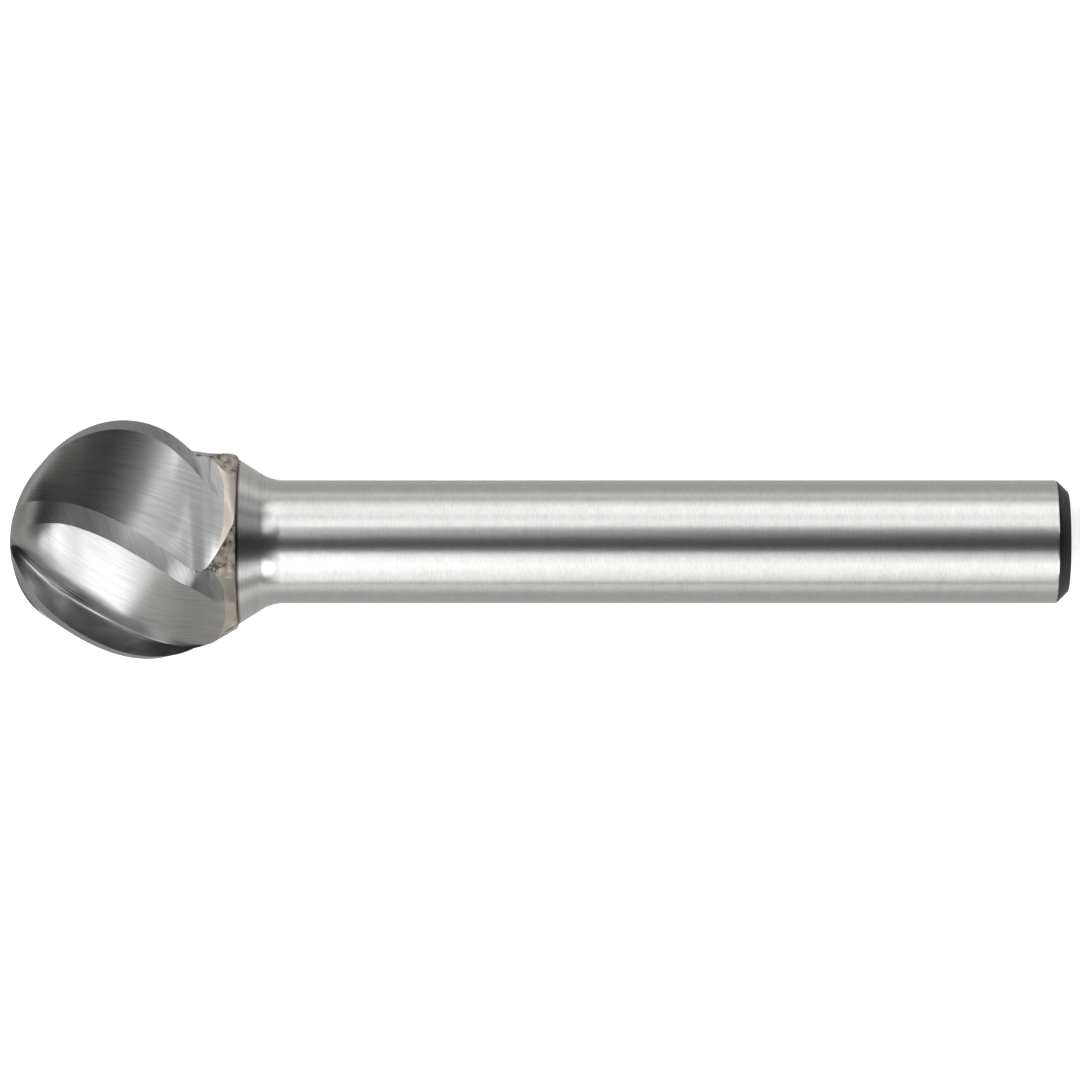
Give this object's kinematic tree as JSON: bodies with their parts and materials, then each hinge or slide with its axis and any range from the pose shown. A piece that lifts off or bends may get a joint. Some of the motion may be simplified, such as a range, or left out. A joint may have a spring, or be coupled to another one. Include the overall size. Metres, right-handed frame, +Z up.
{
  "type": "ball-nose carbide burr",
  "caption": "Ball-shaped carbide burr with helical flutes ground into the head, brazed to a plain round steel shank that flares out at the joint.",
  "frame": {"origin": "below the middle of the box round the burr, on the surface it lies on", "axes": "+X towards the shank's free end, +Z up from the surface it lies on; the burr's own axis drops 2.97 degrees towards +X, because the ball is wider than the shank"},
  "size_m": [0.0516, 0.0116, 0.0113],
  "materials": {
    "carbide": "ground tungsten carbide, semi-bright",
    "solder": "pale silver solder, ground on the flute faces and dull between them",
    "steel": "cylindrically ground tool steel"
  },
  "bodies": {
    "root": {"cutting_head": "carbide", "braze_joint": "solder", "steel_shank": "steel"}
  },
  "joints": []
}
